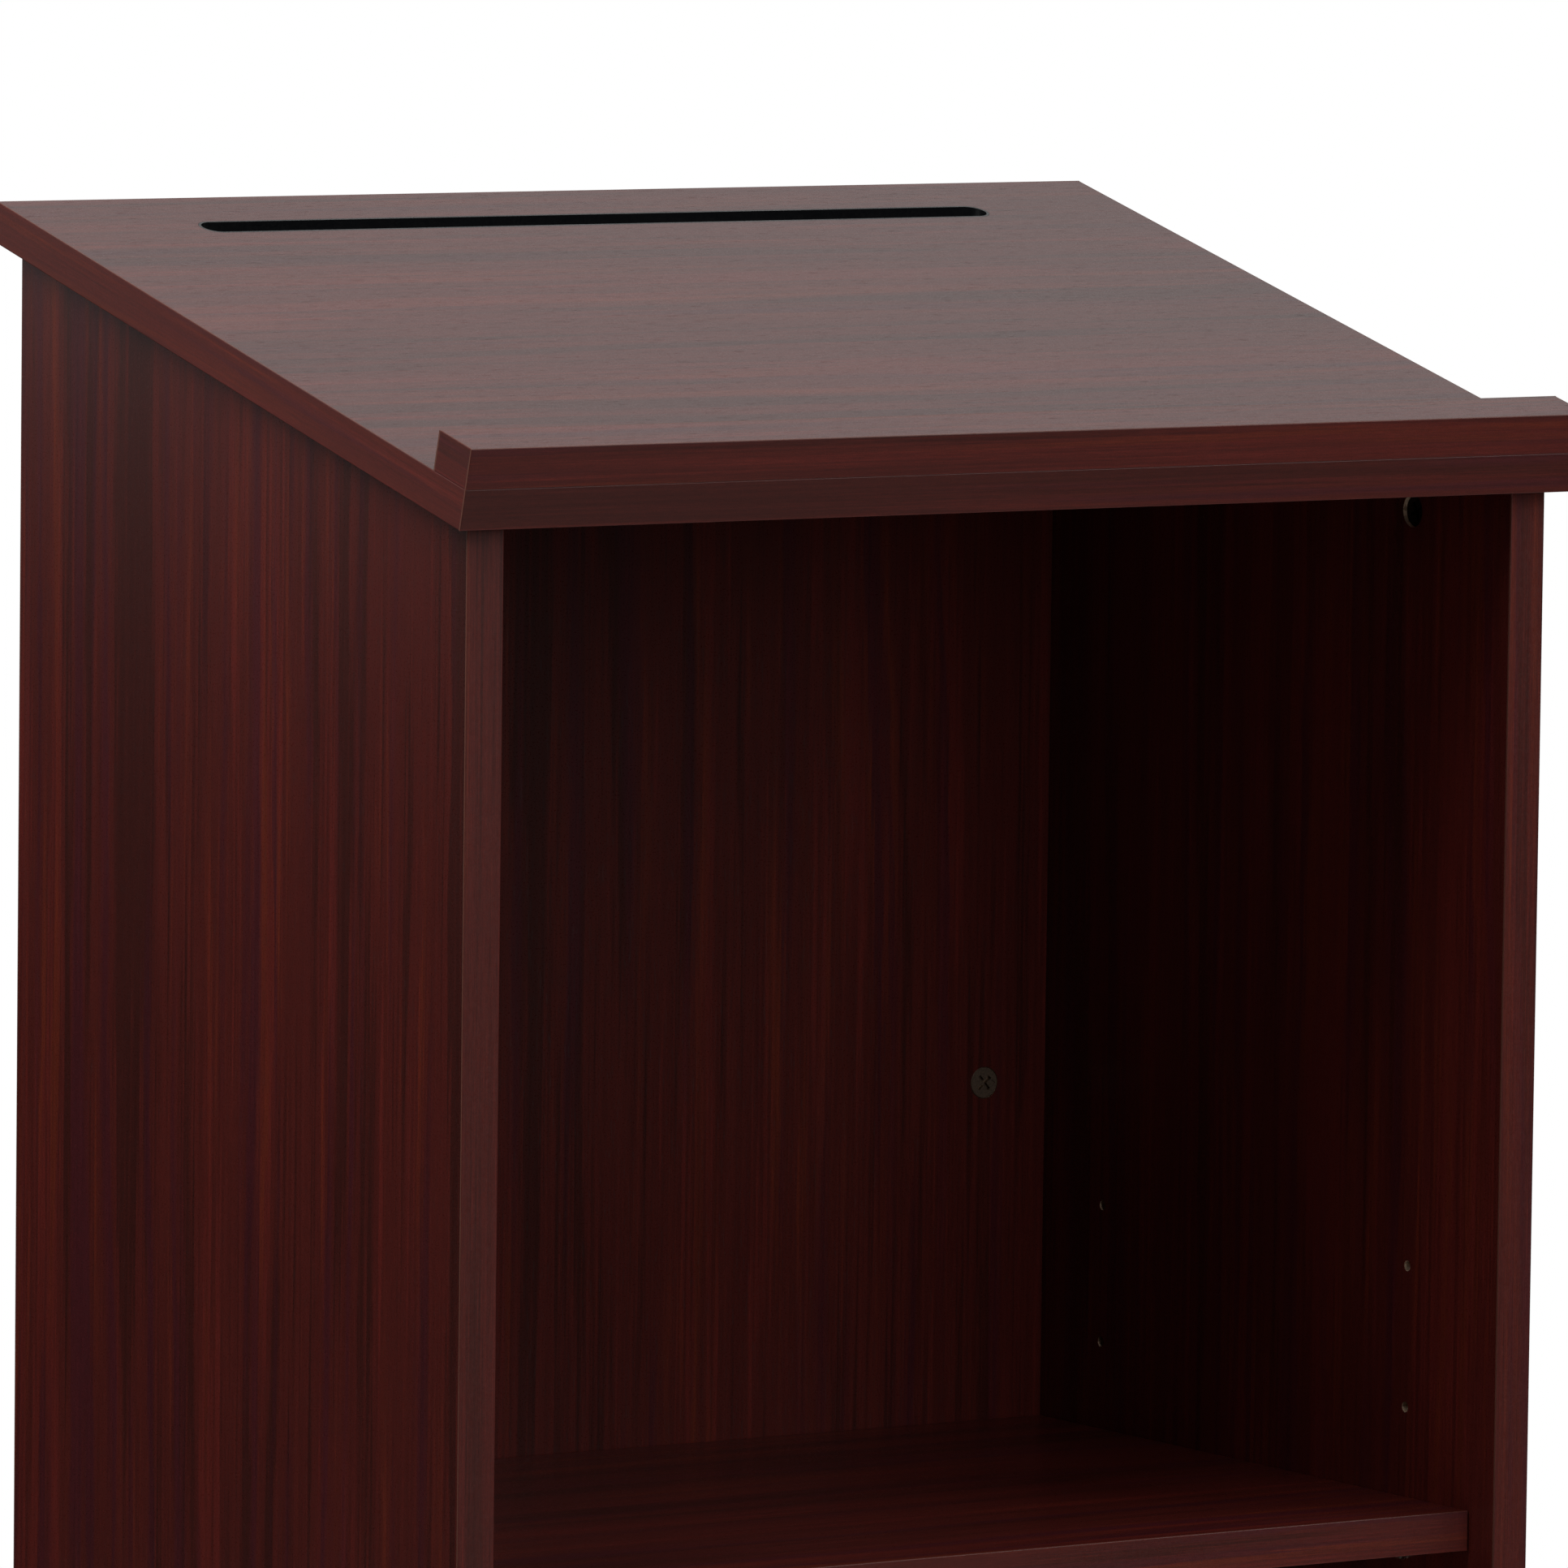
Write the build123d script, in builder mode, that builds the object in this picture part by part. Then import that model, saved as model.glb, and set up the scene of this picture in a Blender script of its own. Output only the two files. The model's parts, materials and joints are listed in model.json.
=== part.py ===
from build123d import *
from math import cos, radians, sin, tan
import os

os.makedirs("parts", exist_ok=True)

# A stand-up lectern made of laminated board, held together by cam locks and dowels.
# Frame, in millimetres: +Z is up, X runs across the desk top and the open side, where the speaker stands,
# faces -Y. The origin is on the floor, under the middle of the overall box.

# ---- Driving dimensions ----

# Carcass
overall_height = 1168.0     # floor to the top of the desk's rear edge
body_width = 560.0          # over the side panels
body_depth = 380.0          # front to rear of the side panels
board = 18.0                # thickness of every board
band = 1.0                  # thickness of the glued edge bands
band_round = 0.4            # rounding of the bands' outer edges

# Desk top, with its book stop and pen groove
desk_slope = 14.3           # degrees
front_overhang = 10.0
rear_overhang = 10.0
side_overhang = 10.0
stop_depth = 27.0
stop_height = 18.0
groove_length = 420.0
groove_width = 17.0
groove_depth = 9.0
groove_setback = 44.0       # centre line to the desk's rear edge, along the slope
liner_wall = 1.2
liner_gap = 0.1

# Adjustable shelf and its pins
shelf_setback = 18.5        # behind the side panels' front edges
shelf_side_gap = 1.0
shelf_rear_gap = 1.0
pin_hole = 5.0              # diameter
pin_hole_depth = 10.0
pin_setback = 69.5          # front column of holes to the side panels' front edges
pin_column_pitch = 243.0
pin_row_pitch = 64.0
pin_rows = 5
pin_row_in_use = 2          # counted from the lowest row, which is 0
lowest_pin_row = 439.3      # above the floor
pin_fit = 0.05              # radial clearance in the hole
pin_length = 8.0            # in the hole
pin_rise = 5.6              # hole centre to the top of the paddle
pin_drop = 5.0              # hole centre to the lower end of the pin's plate
pin_width = 10.0
pin_metal = 1.5
paddle_length = 12.0
paddle_corner = 3.0

# Bottom shelf and kick plate
kick_height = 60.0
kick_setback = 40.0
kick_dowel_height = 15.0    # above the kick plate's lower edge

# Cam locks and their bolts
cam_diameter = 15.0
cam_floor = 0.3             # cam below the bolt's head
cam_bore_gap = 0.2          # bore below the cam
cam_reach = 34.0            # cam centre to the face of the board that it pulls against
cam_fit = 0.05              # radial clearance in the bore
cam_recess = 8.4            # length of each arm of the cross recess
cam_recess_width = 1.7
cam_recess_depth = 2.0
cam_turn = 40.0             # degrees, the cross recess of a tightened cam
cam_edge = 0.4              # chamfer round the cam's face
cam_sink = {"back_panel": 0.0, "side_panel": 2.0, "bottom_shelf": 0.0, "kick_plate": 0.0}
cam_arrow = 2.2             # width of the small arrow by the rim
cam_arrow_inset = 1.2       # arrow's tip to the cam's rim
cam_arrow_depth = 0.5
bolt_thread = 5.0           # diameter
bolt_thread_length = 11.0
bolt_shank = 6.8            # diameter
bolt_neck = 4.4             # diameter
bolt_head = 7.0             # diameter
bolt_head_length = 3.0
bolt_tip = 1.0              # chamfer at the thread's end
bolt_bore = 8.0             # diameter of the bore in the board's edge
bolt_room = 0.6             # clearance round the bolt's neck and head inside the cam
back_cam_rows = 4
back_cam_inset = 44.0       # from the back panel's lower and upper ends
desk_cam_front = 79.0       # to the desk's front edge, along the slope
desk_cam_rear = 96.0        # to the desk's rear edge, along the slope
shelf_cam_front = 90.0      # bottom shelf, from the side panels' front edges
shelf_cam_rear = 80.0       # bottom shelf, from the side panels' rear edges

# Wooden dowels
dowel_diameter = 8.0
dowel_length = 30.0
dowel_chamfer = 1.0
dowel_in_face = 12.0        # depth of the hole in a board's face
dowel_end_gap = 0.5         # room for glue at each end
dowel_fit = 0.05
dowel_spacing = 32.0        # from the cam lock beside it

# Book stop screws
screw_length = 30.0
screw_diameter = 4.0
screw_head = 7.6            # diameter
screw_cone = 90.0           # degrees, the countersunk head
screw_sink = 0.3            # head below the face
screw_gap = 0.2             # radial clearance in the desk top
screw_fit = 0.05            # radial clearance in the book stop
screw_inset = 50.0          # outer screws, from the side panels' inner faces
screw_count = 4
screw_recess = 4.4
screw_recess_width = 1.0
screw_recess_depth = 1.6

# Glides
glide_diameter = 16.0
glide_height = 5.0
glide_round = 1.0
glide_inset = 32.0          # from the side panels' front and rear edges
nail_diameter = 2.0
nail_head = 5.0             # diameter
nail_head_height = 1.0
nail_head_sink = 0.6        # head above the floor
nail_grip = 15.0            # length in the board
nail_fit = 0.05

# ---- Places worked out from the driving dimensions ----

slope = radians(desk_slope)
cam_height = board / 2 + bolt_head / 2 + cam_floor
cam_bore_depth = cam_height + cam_bore_gap
inner_x = body_width / 2 - board
desk_width = body_width + 2 * side_overhang
desk_length = (front_overhang + body_depth + rear_overhang) / cos(slope)
desk_edge_z = overall_height - desk_length * sin(slope) - board * cos(slope)

front_reach = front_overhang + (board + stop_height) * sin(slope)
rear_reach = body_depth + rear_overhang
front_y = (front_reach - rear_reach) / 2
rear_y = front_y + body_depth
back_face_y = rear_y - board
base_z = glide_height
bottom_shelf_z = base_z + kick_height
pin_row_z = lowest_pin_row + pin_row_in_use * pin_row_pitch
shelf_z = pin_row_z + pin_rise

# The desk plane lies on the desk top's underside: x across, y up the slope, z out through the top.
desk_plane = Plane(
    origin=(0, front_y - front_overhang, desk_edge_z), x_dir=(1, 0, 0), z_dir=(0, -sin(slope), cos(slope))
)
desk_rise = Axis((0, 0, 0), desk_plane.y_dir)
desk_normal = Axis((0, 0, 0), desk_plane.z_dir)
sides = {"left": -1, "right": 1}


def on_desk(x, distance, height):
    """Plane parallel to the desk plane, at a place given in the desk plane's directions."""
    place = desk_plane.from_local_coords((x, distance, height))
    return Plane(origin=place, x_dir=desk_plane.x_dir, z_dir=desk_plane.z_dir)


def underside_z(y):
    """Height of the desk top's underside at a depth y."""
    return desk_edge_z + (y - front_y + front_overhang) * tan(slope)


def upright(near, far):
    """Outline, in Y and Z, of an upright board or band whose top edge fits under the desk top."""
    top = [(far, underside_z(far)), (near, underside_z(near))]
    return Polygon((near, base_z), (far, base_z), *top, align=None)


def block(plane, low, high, mode=Mode.ADD):
    """Rectangular solid between two corners that are given in the plane's own directions."""
    corner = Plane(plane.from_local_coords(low), x_dir=plane.x_dir, z_dir=plane.z_dir)
    low_corner = (Align.MIN, Align.MIN, Align.MIN)
    with Locations(corner):
        Box(high[0] - low[0], high[1] - low[1], high[2] - low[2], align=low_corner, mode=mode)


def cross_recess(height, length, width, depth, first_turn=0):
    """Cross recess for a screwdriver, cut into the face that lies at a height."""
    with Locations((0, 0, height)):
        for turn in (first_turn, first_turn + 90):
            Box(length, width, 2 * depth, rotation=(0, 0, turn), mode=Mode.SUBTRACT)


def save(piece, name):
    """Label a finished piece and write it to its own file."""
    piece.part.label = name
    export_step(piece.part, f"parts/{name}.step")


# ---- Joints ----
# A joint is a plane on the face of the board that carries the bolt or dowel. Its origin is at the middle of
# the other board's thickness, z points into that board, and x points to the face in which the cam is sunk.


def reversed_joint(joint):
    """The same place, looking back out of the bored board."""
    return Plane(origin=joint.origin, x_dir=joint.x_dir, z_dir=-joint.z_dir)


def cam_seat(joint):
    """Plane on the bored board's face, over the cam's centre and facing out, with x along the bolt."""
    centre = joint.from_local_coords((board / 2, 0, cam_reach))
    return Plane(origin=centre, x_dir=joint.z_dir, z_dir=joint.x_dir)


def from_side(hand, y, z, cam_side=(0, -1, 0)):
    """Joint on a side panel's inner face."""
    return Plane(origin=(hand * inner_x, y, z), x_dir=cam_side, z_dir=(-hand, 0, 0))


def from_desk(hand, distance):
    """Joint on the desk top's underside, over the middle of a side panel's thickness."""
    place = desk_plane.from_local_coords((hand * (inner_x + board / 2), distance, 0))
    return Plane(origin=place, x_dir=(-hand, 0, 0), z_dir=-desk_plane.z_dir)


def bore_for_bolts(joints):
    """Bores of the board that takes the cams: for each bolt in its edge, and for each cam in its face."""
    with Locations(*[reversed_joint(joint) for joint in joints]):
        Hole(bolt_bore / 2, cam_reach)
    with Locations(*[cam_seat(joint) for joint in joints]):
        Hole(cam_diameter / 2, cam_bore_depth)


def bore_for_threads(joints):
    """Holes of the board that the bolts are screwed into."""
    with Locations(*joints):
        Hole(bolt_thread / 2, bolt_thread_length + dowel_end_gap)


def bore_for_dowels(joints, into_edge):
    """Dowel holes, in the edge of the bored board or in the face of the board that it meets."""
    if into_edge:
        with Locations(*[reversed_joint(joint) for joint in joints]):
            Hole(dowel_diameter / 2, dowel_length - dowel_in_face + 2 * dowel_end_gap)
    else:
        with Locations(*joints):
            Hole(dowel_diameter / 2, dowel_in_face)


back_mid_y = back_face_y + board / 2
back_top_z = underside_z(back_face_y)
back_cam_pitch = (back_top_z - base_z - 2 * back_cam_inset) / (back_cam_rows - 1)
back_cam_z = [base_z + back_cam_inset + row * back_cam_pitch for row in range(back_cam_rows)]
back_dowel_z = [(low + high) / 2 for low, high in zip(back_cam_z, back_cam_z[1:])]
desk_cam_places = [desk_cam_front, desk_length - desk_cam_rear]
desk_dowel_places = [desk_cam_front + dowel_spacing, desk_length - desk_cam_rear - dowel_spacing]
shelf_mid_z = bottom_shelf_z + board / 2
shelf_cam_y = [front_y + shelf_cam_front, rear_y - shelf_cam_rear]
shelf_dowel_y = [front_y + shelf_cam_front - dowel_spacing, rear_y - shelf_cam_rear - dowel_spacing]
kick_mid_y = front_y + kick_setback + board / 2
kick_mid_z = base_z + kick_height / 2
kick_dowel_z = base_z + kick_dowel_height

back_cams = {s: [from_side(h, back_mid_y, z) for z in back_cam_z] for s, h in sides.items()}
back_dowels = {s: [from_side(h, back_mid_y, z) for z in back_dowel_z] for s, h in sides.items()}
desk_cams = {s: [from_desk(h, place) for place in desk_cam_places] for s, h in sides.items()}
desk_dowels = {s: [from_desk(h, place) for place in desk_dowel_places] for s, h in sides.items()}
shelf_cams = {s: [from_side(h, y, shelf_mid_z, (0, 0, -1)) for y in shelf_cam_y] for s, h in sides.items()}
shelf_dowels = {s: [from_side(h, y, shelf_mid_z) for y in shelf_dowel_y] for s, h in sides.items()}
kick_cams = {s: [from_side(h, kick_mid_y, kick_mid_z, (0, 1, 0))] for s, h in sides.items()}
kick_dowels = {s: [from_side(h, kick_mid_y, kick_dowel_z)] for s, h in sides.items()}

pin_columns = {"front": front_y + pin_setback, "rear": front_y + pin_setback + pin_column_pitch}
pin_heights = [lowest_pin_row + row * pin_row_pitch for row in range(pin_rows)]


def pin_place(hand, y, z):
    """Plane at a pin hole's mouth: z points out of the hole and x points up."""
    return Plane(origin=(hand * inner_x, y, z), x_dir=(0, 0, 1), z_dir=(-hand, 0, 0))


def glide_place(hand, y):
    """Plane on the floor under a glide."""
    return Plane(origin=(hand * (inner_x + board / 2), y, 0), x_dir=(1, 0, 0), z_dir=(0, 0, 1))


glide_rows = {"front": front_y + glide_inset, "rear": rear_y - glide_inset}

# ---- Side panels and their bands ----

for side, hand in sides.items():
    face_x = min(hand * inner_x, hand * body_width / 2)
    with BuildPart() as side_panel:
        with BuildSketch(Plane.YZ.offset(face_x)):
            upright(front_y + band, rear_y - band)
        extrude(amount=board)
        bore_for_threads(back_cams[side] + shelf_cams[side] + kick_cams[side])
        bore_for_dowels(back_dowels[side] + shelf_dowels[side] + kick_dowels[side], into_edge=False)
        bore_for_bolts(desk_cams[side])
        bore_for_dowels(desk_dowels[side], into_edge=True)
        with Locations(*[pin_place(hand, y, z) for y in pin_columns.values() for z in pin_heights]):
            Hole(pin_hole / 2, pin_hole_depth)
        with Locations(*[reversed_joint(glide_place(hand, y)) for y in glide_rows.values()]):
            Hole(nail_diameter / 2 + nail_fit, base_z + nail_grip + dowel_end_gap)
    save(side_panel, f"{side}_side_panel")

    with BuildPart() as side_front_band:
        with BuildSketch(Plane.YZ.offset(face_x)):
            upright(front_y, front_y + band)
        extrude(amount=board)
        fillet(side_front_band.faces().sort_by(Axis.Y)[0].edges().filter_by(Axis.Z), band_round)
    save(side_front_band, f"{side}_side_front_band")

    with BuildPart() as side_rear_band:
        with BuildSketch(Plane.YZ.offset(face_x)):
            upright(rear_y - band, rear_y)
        extrude(amount=board)
        outer_edges = side_rear_band.faces().sort_by(Axis.Y)[-1].edges().filter_by(Axis.Z)
        fillet(outer_edges.sort_by(Axis.X)[0 if hand < 0 else -1], band_round)
    save(side_rear_band, f"{side}_side_rear_band")

# ---- Back panel ----

with BuildPart() as back_panel:
    with BuildSketch(Plane.YZ.offset(-inner_x)):
        upright(back_face_y, rear_y)
    extrude(amount=2 * inner_x)
    for side in sides:
        bore_for_bolts(back_cams[side])
        bore_for_dowels(back_dowels[side], into_edge=True)
save(back_panel, "back_panel")

# ---- Desk top and its bands ----

screw_span = 2 * (inner_x - screw_inset)
screw_x = [-screw_span / 2 + place * screw_span / (screw_count - 1) for place in range(screw_count)]
screw_places = [on_desk(x, stop_depth / 2, 0) for x in screw_x]
groove_plane = on_desk(0, desk_length - groove_setback, board)
desk_half = desk_width / 2

with BuildPart() as desk_top:
    block(desk_plane, (band - desk_half, band, 0), (desk_half - band, desk_length - band, board))
    with BuildSketch(groove_plane):
        SlotOverall(groove_length, groove_width)
    extrude(amount=-groove_depth, mode=Mode.SUBTRACT)
    for side in sides:
        bore_for_threads(desk_cams[side])
        bore_for_dowels(desk_dowels[side], into_edge=False)
    with Locations(*[reversed_joint(place) for place in screw_places]):
        CounterSinkHole(
            screw_diameter / 2 + screw_gap,
            screw_head / 2 + screw_gap + screw_sink,
            board,
            screw_cone,
        )
save(desk_top, "desk_top")

with BuildPart() as desk_front_band:
    block(desk_plane, (-desk_half, 0, 0), (desk_half, band, board))
    fillet(desk_front_band.faces().sort_by(desk_rise)[0].edges(), band_round)
save(desk_front_band, "desk_front_band")

with BuildPart() as desk_rear_band:
    block(desk_plane, (-desk_half, desk_length - band, 0), (desk_half, desk_length, board))
    fillet(desk_rear_band.faces().sort_by(desk_rise)[-1].edges(), band_round)
save(desk_rear_band, "desk_rear_band")

for side, hand in sides.items():
    near_x, far_x = sorted((hand * desk_half, hand * (desk_half - band)))
    with BuildPart() as desk_end_band:
        block(desk_plane, (near_x, band, 0), (far_x, desk_length - band, board))
        outer_face = desk_end_band.faces().sort_by(Axis.X)[0 if hand < 0 else -1]
        fillet(outer_face.edges().filter_by(desk_rise), band_round)
    save(desk_end_band, f"desk_{side}_band")

# ---- Pen groove liner ----

with BuildPart() as pen_groove_liner:
    with BuildSketch(groove_plane.offset(-groove_depth)):
        SlotOverall(groove_length - 2 * liner_gap, groove_width - 2 * liner_gap)
    extrude(amount=groove_depth)
    with BuildSketch(groove_plane):
        inside = 2 * (liner_gap + liner_wall)
        SlotOverall(groove_length - inside, groove_width - inside)
    extrude(amount=liner_wall - groove_depth, mode=Mode.SUBTRACT)
save(pen_groove_liner, "pen_groove_liner")

# ---- Book stop, its bands and its screws ----

stop_top = board + stop_height

with BuildPart() as book_stop:
    block(desk_plane, (-desk_half + band, band, board), (desk_half - band, stop_depth - band, stop_top))
    with Locations(*[reversed_joint(place) for place in screw_places]):
        Hole(screw_diameter / 2 + screw_fit, screw_sink + screw_length + dowel_end_gap)
save(book_stop, "book_stop")

with BuildPart() as book_stop_front_band:
    block(desk_plane, (-desk_half, 0, board), (desk_half, band, stop_top))
    fillet(book_stop_front_band.faces().sort_by(desk_rise)[0].edges(), band_round)
save(book_stop_front_band, "book_stop_front_band")

with BuildPart() as book_stop_rear_band:
    block(desk_plane, (-desk_half, stop_depth - band, board), (desk_half, stop_depth, stop_top))
    outer_face = book_stop_rear_band.faces().sort_by(desk_rise)[-1]
    fillet(outer_face.edges().sort_by(desk_normal)[-1], band_round)
save(book_stop_rear_band, "book_stop_rear_band")

for side, hand in sides.items():
    near_x, far_x = sorted((hand * desk_half, hand * (desk_half - band)))
    with BuildPart() as stop_end_band:
        block(desk_plane, (near_x, band, board), (far_x, stop_depth - band, stop_top))
        outer_face = stop_end_band.faces().sort_by(Axis.X)[0 if hand < 0 else -1]
        fillet(outer_face.edges().filter_by(desk_rise), band_round)
    save(stop_end_band, f"book_stop_{side}_band")

# One screw stands on the XY plane with its head at the bottom.
with BuildPart() as screw:
    with BuildSketch(Plane.XZ):
        head_bottom = screw_sink
        cone_top = head_bottom + (screw_head - screw_diameter) / 2 / tan(radians(screw_cone / 2))
        tip = screw_sink + screw_length
        Polygon(
            (0, head_bottom),
            (screw_head / 2, head_bottom),
            (screw_diameter / 2, cone_top),
            (screw_diameter / 2, tip - screw_diameter),
            (0, tip),
            align=None,
        )
    revolve(axis=Axis.Z)
    cross_recess(head_bottom, screw_recess, screw_recess_width, screw_recess_depth)

# ---- Adjustable shelf and its pins ----

shelf_half = inner_x - shelf_side_gap
shelf_front = front_y + shelf_setback
shelf_rear = back_face_y - shelf_rear_gap

with BuildPart() as adjustable_shelf:
    block(Plane.XY, (-shelf_half, shelf_front + band, shelf_z), (shelf_half, shelf_rear, shelf_z + board))
save(adjustable_shelf, "adjustable_shelf")

with BuildPart() as adjustable_shelf_front_band:
    block(Plane.XY, (-shelf_half, shelf_front, shelf_z), (shelf_half, shelf_front + band, shelf_z + board))
    fillet(adjustable_shelf_front_band.faces().sort_by(Axis.Y)[0].edges(), band_round)
save(adjustable_shelf_front_band, "adjustable_shelf_front_band")

# One pin, in the directions of pin_place: a round peg, a plate against the panel, a flat paddle under the
# shelf and a rib between them.
with BuildPart() as pin:
    Cylinder(pin_hole / 2 - pin_fit, pin_length, align=(Align.CENTER, Align.CENTER, Align.MAX))
    block(Plane.XY, (-pin_drop, -pin_width / 2, 0), (pin_rise, pin_width / 2, pin_metal))
    block(Plane.XY, (pin_rise - pin_metal, -pin_width / 2, 0), (pin_rise, pin_width / 2, paddle_length))
    with BuildSketch(Plane.XZ.offset(-pin_metal / 2)):
        rib_top = pin_rise - pin_metal
        rib_end = paddle_length - paddle_corner
        Polygon((-pin_drop, pin_metal), (rib_top, pin_metal), (rib_top, rib_end), align=None)
    extrude(amount=pin_metal)
    paddle_end = pin.faces().sort_by(Axis.Z)[-1]
    fillet(paddle_end.edges().filter_by(Axis.X), paddle_corner)
    lower_end = pin.faces().sort_by(Axis.X)[0]
    fillet(lower_end.edges().filter_by(Axis.Z), paddle_corner)


def place_copies(master, name, places):
    """One copy of a small piece at each place, written as one group of separate solids."""
    with BuildPart() as group:
        with Locations(*places):
            add(master.part)
    save(group, name)


for row, y in pin_columns.items():
    for side, hand in sides.items():
        place_copies(pin, f"shelf_pin_{row}_{side}", [pin_place(hand, y, pin_row_z)])

# ---- Bottom shelf and kick plate ----

bottom_shelf_top = bottom_shelf_z + board

with BuildPart() as bottom_shelf:
    block(Plane.XY, (-inner_x, front_y + band, bottom_shelf_z), (inner_x, back_face_y, bottom_shelf_top))
    for side in sides:
        bore_for_bolts(shelf_cams[side])
        bore_for_dowels(shelf_dowels[side], into_edge=True)
save(bottom_shelf, "bottom_shelf")

with BuildPart() as bottom_shelf_front_band:
    block(Plane.XY, (-inner_x, front_y, bottom_shelf_z), (inner_x, front_y + band, bottom_shelf_top))
    fillet(bottom_shelf_front_band.faces().sort_by(Axis.Y)[0].edges().filter_by(Axis.X), band_round)
save(bottom_shelf_front_band, "bottom_shelf_front_band")

with BuildPart() as kick_plate:
    kick_front = front_y + kick_setback
    block(Plane.XY, (-inner_x, kick_front, base_z), (inner_x, kick_front + board, bottom_shelf_z))
    for side in sides:
        bore_for_bolts(kick_cams[side])
        bore_for_dowels(kick_dowels[side], into_edge=True)
save(kick_plate, "kick_plate")

# ---- Cam locks, cam bolts and dowels ----


def make_cam(sink):
    """Cam whose face lies a little below the XY plane, in the directions of cam_seat.

    The bolt comes in from -X, its neck passes through a narrow slot and its head sits in a wider chamber.
    """
    neck_room = bolt_neck + 2 * bolt_room
    head_room = bolt_head + 2 * bolt_room
    half_chamber = bolt_head_length / 2 + bolt_room
    slot_top = (neck_room - board) / 2
    chamber_top = (head_room - board) / 2
    arrow_tip = cam_arrow_inset - cam_diameter / 2
    arrow_foot = arrow_tip + cam_arrow
    with BuildPart() as cam:
        with Locations((0, 0, -cam_height)):
            Cylinder(
                cam_diameter / 2 - cam_fit,
                cam_height - sink,
                align=(Align.CENTER, Align.CENTER, Align.MIN),
            )
        chamfer(cam.faces().sort_by(Axis.Z)[-1].edges(), cam_edge)
        block(Plane.XY, (-cam_diameter, -neck_room / 2, -board), (0, neck_room / 2, slot_top), Mode.SUBTRACT)
        block(
            Plane.XY,
            (-half_chamber, -head_room / 2, -board),
            (half_chamber, head_room / 2, chamber_top),
            Mode.SUBTRACT,
        )
        cross_recess(-sink, cam_recess, cam_recess_width, cam_recess_depth, cam_turn)
        with BuildSketch(Plane.XY.offset(-sink)):
            Polygon((arrow_tip, 0), (arrow_foot, -cam_arrow / 2), (arrow_foot, cam_arrow / 2), align=None)
        extrude(amount=-cam_arrow_depth, mode=Mode.SUBTRACT)
    return cam


# One bolt stands on the XY plane of its joint: the thread below it, the shank, neck and head above it.
with BuildPart() as bolt:
    with BuildSketch(Plane.XZ):
        head_end = cam_reach + bolt_head_length / 2
        head_start = cam_reach - bolt_head_length / 2
        shank_end = cam_reach - cam_diameter / 2 - bolt_room
        thread_radius = bolt_thread / 2 - cam_fit
        Polygon(
            (0, -bolt_thread_length),
            (thread_radius - bolt_tip, -bolt_thread_length),
            (thread_radius, bolt_tip - bolt_thread_length),
            (thread_radius, 0),
            (bolt_shank / 2, 0),
            (bolt_shank / 2, shank_end),
            (bolt_neck / 2, shank_end),
            (bolt_neck / 2, head_start),
            (bolt_head / 2, head_start),
            (bolt_head / 2, head_end),
            (0, head_end),
            align=None,
        )
    revolve(axis=Axis.Z)

with BuildPart() as dowel:
    with Locations((0, 0, dowel_end_gap - dowel_in_face)):
        Cylinder(
            dowel_diameter / 2 - dowel_fit,
            dowel_length - dowel_end_gap,
            align=(Align.CENTER, Align.CENTER, Align.MIN),
        )
    chamfer(dowel.edges(), dowel_chamfer)

cam_joints = {
    "back_panel": back_cams,
    "side_panel": desk_cams,
    "bottom_shelf": shelf_cams,
    "kick_plate": kick_cams,
}
dowel_joints = {
    "back_panel": back_dowels,
    "side_panel": desk_dowels,
    "bottom_shelf": shelf_dowels,
    "kick_plate": kick_dowels,
}

for owner, by_side in cam_joints.items():
    joints = [joint for side in sides for joint in by_side[side]]
    place_copies(make_cam(cam_sink[owner]), f"{owner}_cams", [cam_seat(joint) for joint in joints])
    place_copies(bolt, f"{owner}_cam_bolts", joints)

for owner, by_side in dowel_joints.items():
    place_copies(dowel, f"{owner}_dowels", [joint for side in sides for joint in by_side[side]])

place_copies(screw, "book_stop_screws", screw_places)

# ---- Glides and their nails ----

with BuildPart() as glide:
    Cylinder(glide_diameter / 2, glide_height, align=(Align.CENTER, Align.CENTER, Align.MIN))
    fillet(glide.faces().sort_by(Axis.Z)[0].edges(), glide_round)
    with Locations(Plane(origin=(0, 0, 0), x_dir=(1, 0, 0), z_dir=(0, 0, -1))):
        CounterBoreHole(
            nail_diameter / 2 + nail_fit,
            nail_head / 2 + nail_fit,
            nail_head_sink + nail_head_height,
            glide_height,
        )

with BuildPart() as nail:
    with Locations((0, 0, nail_head_sink)):
        Cylinder(nail_head / 2, nail_head_height, align=(Align.CENTER, Align.CENTER, Align.MIN))
        Cylinder(
            nail_diameter / 2,
            glide_height + nail_grip - nail_head_sink,
            align=(Align.CENTER, Align.CENTER, Align.MIN),
        )

for row, y in glide_rows.items():
    for side, hand in sides.items():
        place_copies(glide, f"glide_{row}_{side}", [glide_place(hand, y)])
nail_places = [glide_place(hand, y) for hand in sides.values() for y in glide_rows.values()]
place_copies(nail, "glide_nails", nail_places)
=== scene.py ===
import json
import math

import bpy
import numpy as np
from bpy.props import FloatProperty, IntProperty, PointerProperty, StringProperty
from mathutils import Matrix, Vector


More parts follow.
